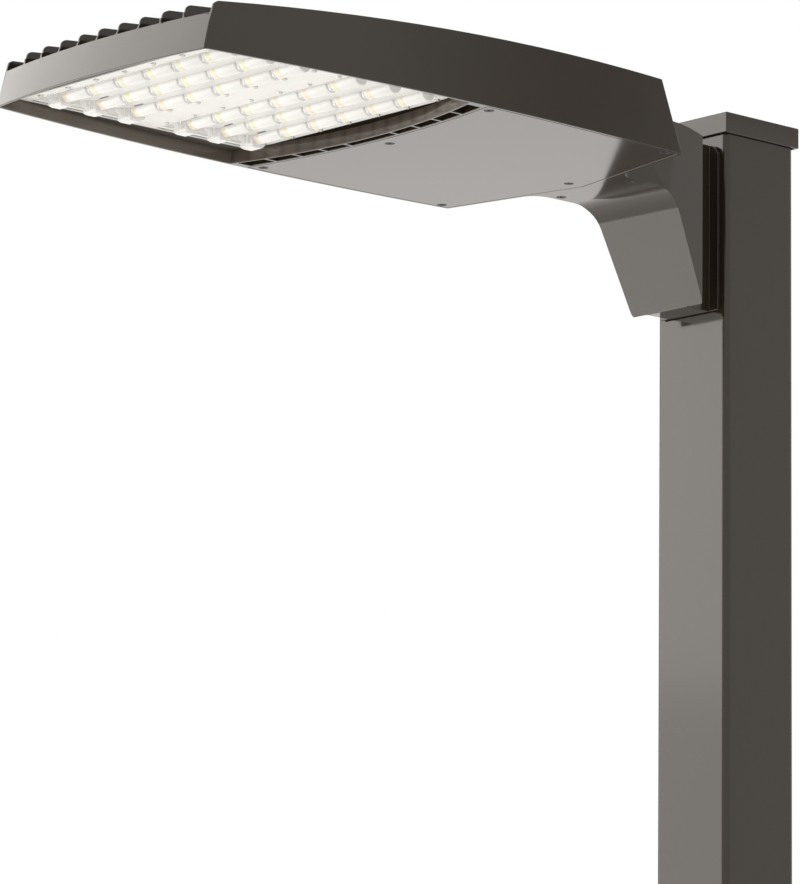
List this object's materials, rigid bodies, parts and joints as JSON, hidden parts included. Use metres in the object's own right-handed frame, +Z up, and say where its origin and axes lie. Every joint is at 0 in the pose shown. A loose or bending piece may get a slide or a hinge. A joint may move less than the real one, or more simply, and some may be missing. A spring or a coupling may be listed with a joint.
{
  "type": "flood light",
  "caption": "Pole-mounted LED area flood light: flat finned head with clear optics, gear door and bent arm, bolted to the capped top section of a square pole.",
  "frame": {"origin": "middle of the lower end of the square pole section", "axes": "+Z up the pole, -Y the way the light reaches out, +X to the right seen from the light's front"},
  "size_m": [0.364, 0.9113, 0.8634],
  "materials": {
    "bronze_casting": "dark bronze powder coat, semi-gloss",
    "bronze_pole": "dark bronze powder coat on steel, semi-gloss",
    "zinc_steel": "zinc plated",
    "dark_steel": "blackened",
    "bezel_sheet": "light grey, satin",
    "clear_optic": "clear moulded acrylic",
    "board_white": "white solder mask",
    "lamp_yellow": "phosphor",
    "black_rubber": "matt",
    "grey_silicone": "matt",
    "driver_case": "bare, potted",
    "gear_black": "moulded",
    "lead_red": "wire insulation",
    "lead_green": "wire insulation"
  },
  "bodies": {
    "light": {"pole": "bronze_pole", "housing": "bronze_casting", "mount_gasket": "black_rubber", "mount_bolts": "zinc_steel", "mount_washers": "zinc_steel", "nut_plate": "zinc_steel", "mount_nuts": "zinc_steel", "wire_bushing": "black_rubber", "board_front": "board_white", "board_rear": "board_white", "leds_front": "lamp_yellow", "leds_rear": "lamp_yellow", "lens_front": "clear_optic", "lens_rear": "clear_optic", "lens_gasket_front": "grey_silicone", "lens_gasket_rear": "grey_silicone", "lens_bezel": "bezel_sheet", "lens_screws": "dark_steel", "board_jumper": "board_white", "wire_clamp": "zinc_steel", "arm_screws": "dark_steel", "driver": "driver_case", "driver_screws": "zinc_steel", "surge_protector": "gear_black", "surge_screws": "zinc_steel", "terminal_block": "gear_black", "terminal_screws": "zinc_steel", "ground_screw": "lead_green", "led_lead": "lead_red", "driver_lead": "black_rubber", "surge_lead": "black_rubber", "ground_lead": "lead_green", "lead_grommet": "black_rubber"},
    "door": {"door": "bronze_casting", "door_gasket": "black_rubber", "door_screws": "dark_steel"},
    "cap": {"pole_cap": "bronze_casting"}
  },
  "joints": [
    {"name": "door_lift_off", "type": "slide", "parent": "light", "child": "door", "axis": [0, 0, -1], "range_m": [0, 0.06]},
    {"name": "cap_pull_off", "type": "slide", "parent": "light", "child": "cap", "axis": [0, 0, 1], "range_m": [0, 0.05]}
  ]
}
